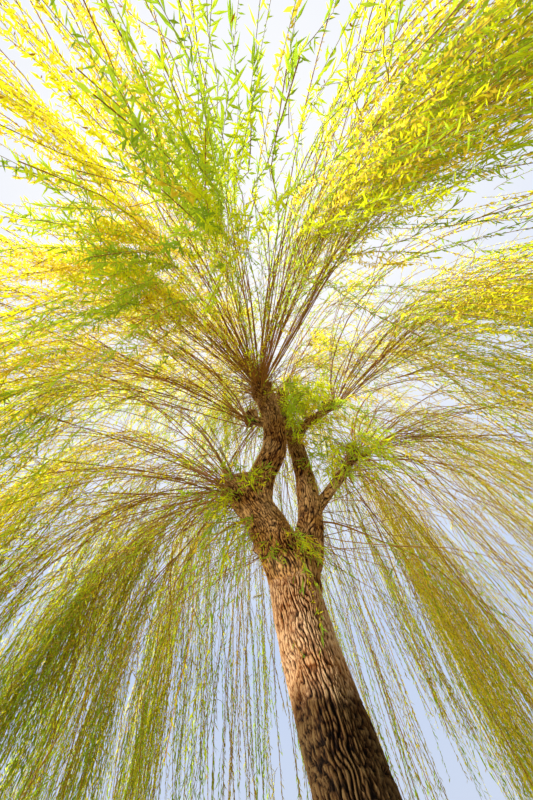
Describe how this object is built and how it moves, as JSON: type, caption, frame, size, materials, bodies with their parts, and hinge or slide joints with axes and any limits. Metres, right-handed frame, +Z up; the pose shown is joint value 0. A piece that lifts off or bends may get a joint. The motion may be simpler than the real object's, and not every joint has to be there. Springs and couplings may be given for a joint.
{
  "type": "weeping willow tree",
  "caption": "Pollarded weeping willow in spring leaf: forked trunk, knobbly limbs and long arching shoots that hang in curtains round an open space.",
  "frame": {"origin": "centre of the trunk's flat cut at ground level", "axes": "+Z up; the trunk leans a little to -X; -Y is the side that the picture looks from; +X is its right"},
  "size_m": [8.634, 8.685, 7.7099],
  "materials": {
    "bark": "matte, deeply furrowed",
    "limb_bark": "matte, ridged",
    "top_foliage": "thin satin leaves, lit through",
    "side_foliage": "thin satin leaves",
    "low_foliage": "thin satin leaves"
  },
  "bodies": {
    "root": {"trunk": "bark", "left_limb": "limb_bark", "right_limb": "limb_bark", "middle_stem": "limb_bark", "left_knob": "limb_bark", "right_arm": "limb_bark", "upper_right_arm": "limb_bark", "top_foliage_1": "top_foliage", "top_foliage_2": "top_foliage", "top_foliage_3": "top_foliage", "top_foliage_4": "top_foliage", "top_foliage_5": "top_foliage", "top_foliage_6": "top_foliage", "top_foliage_7": "top_foliage", "top_foliage_8": "top_foliage", "side_foliage_1": "side_foliage", "side_foliage_2": "side_foliage", "side_foliage_3": "side_foliage", "side_foliage_4": "side_foliage", "side_foliage_5": "side_foliage", "side_foliage_6": "side_foliage", "side_foliage_7": "side_foliage", "side_foliage_8": "side_foliage", "side_foliage_9": "side_foliage", "side_foliage_10": "side_foliage", "side_foliage_11": "side_foliage", "side_foliage_12": "side_foliage", "side_foliage_13": "side_foliage", "side_foliage_14": "side_foliage", "fork_sprouts": "low_foliage", "left_low_shoots": "low_foliage", "right_low_shoots": "low_foliage"}
  },
  "joints": []
}
